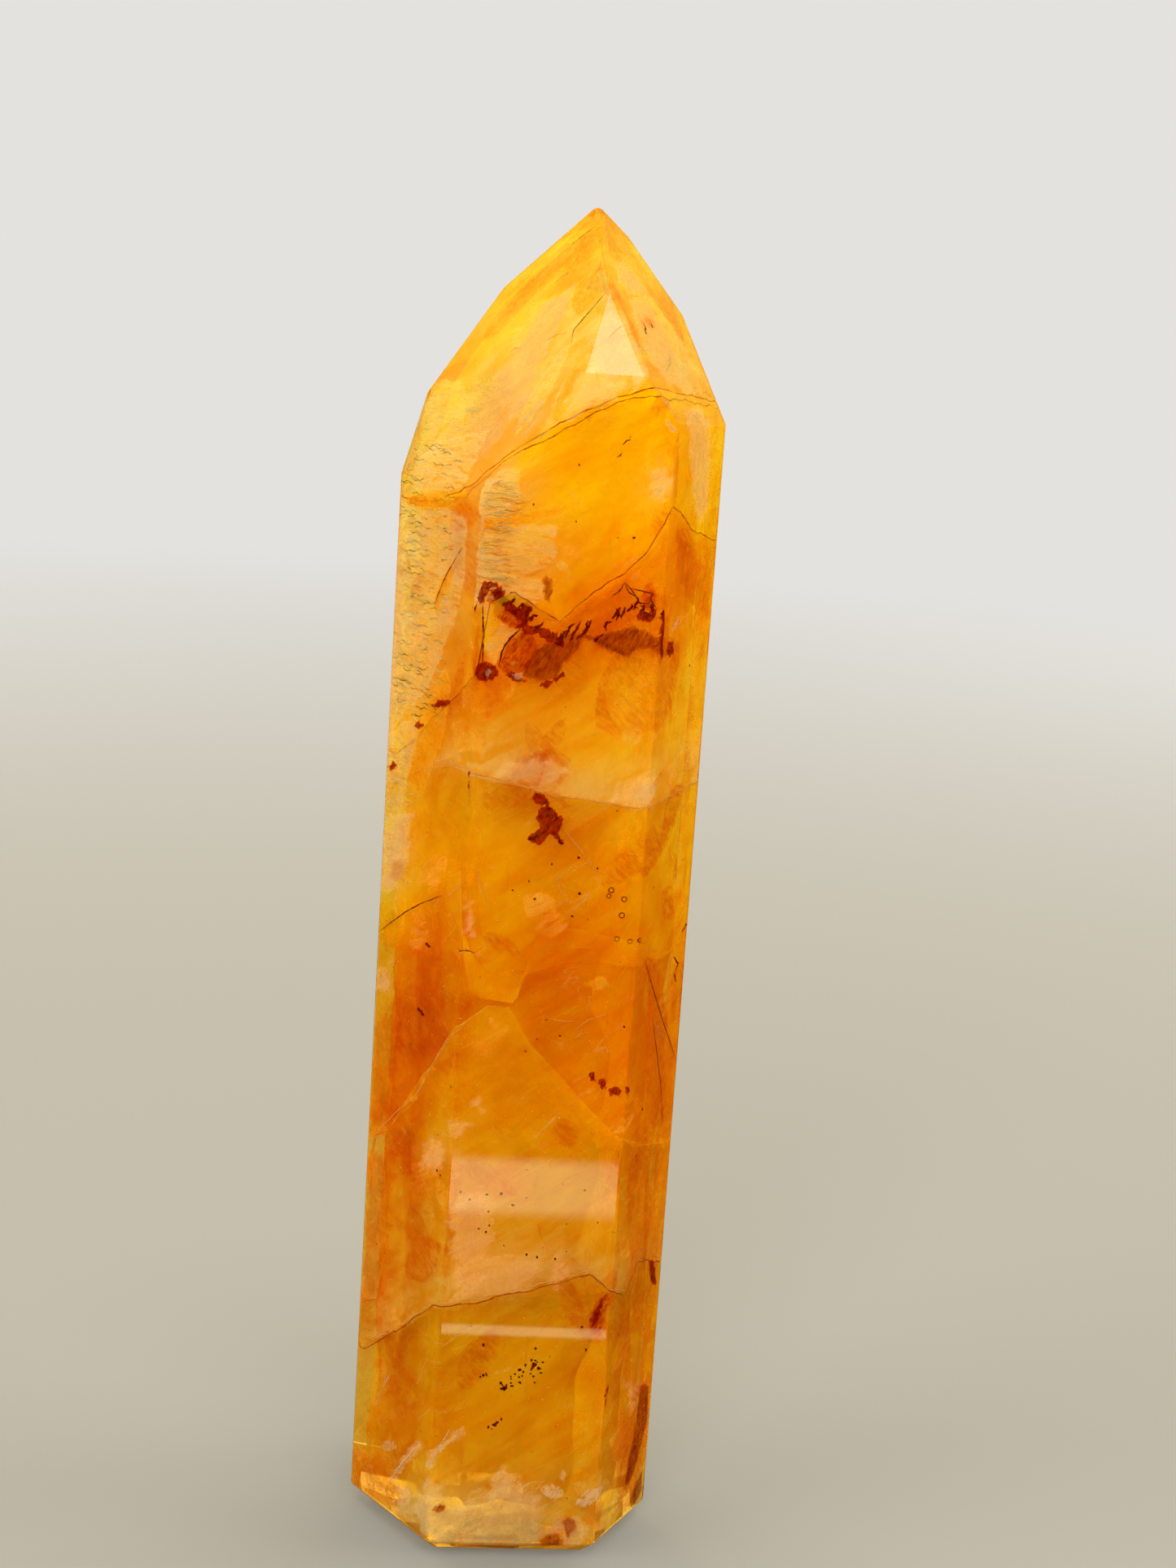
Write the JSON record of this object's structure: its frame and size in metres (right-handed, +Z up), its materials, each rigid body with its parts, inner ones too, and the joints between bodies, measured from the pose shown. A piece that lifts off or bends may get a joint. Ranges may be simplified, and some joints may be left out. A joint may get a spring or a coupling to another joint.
{
  "type": "golden healer quartz tower",
  "caption": "Tall polished quartz point, amber gold with iron-stained veils inside, that stands upright on its flat cut base.",
  "frame": {"origin": "on the surface the tower stands on, below the middle of the tower's outline", "axes": "+Z up along the crystal, -Y out of the broad front face, +X to the right of someone who faces it"},
  "size_m": [0.0234, 0.021, 0.0998],
  "materials": {
    "golden_quartz": "polished translucent quartz, amber gold, clear pale gold at the tip and milky near the base"
  },
  "bodies": {
    "root": {"quartz_tower": "golden_quartz"}
  },
  "joints": []
}
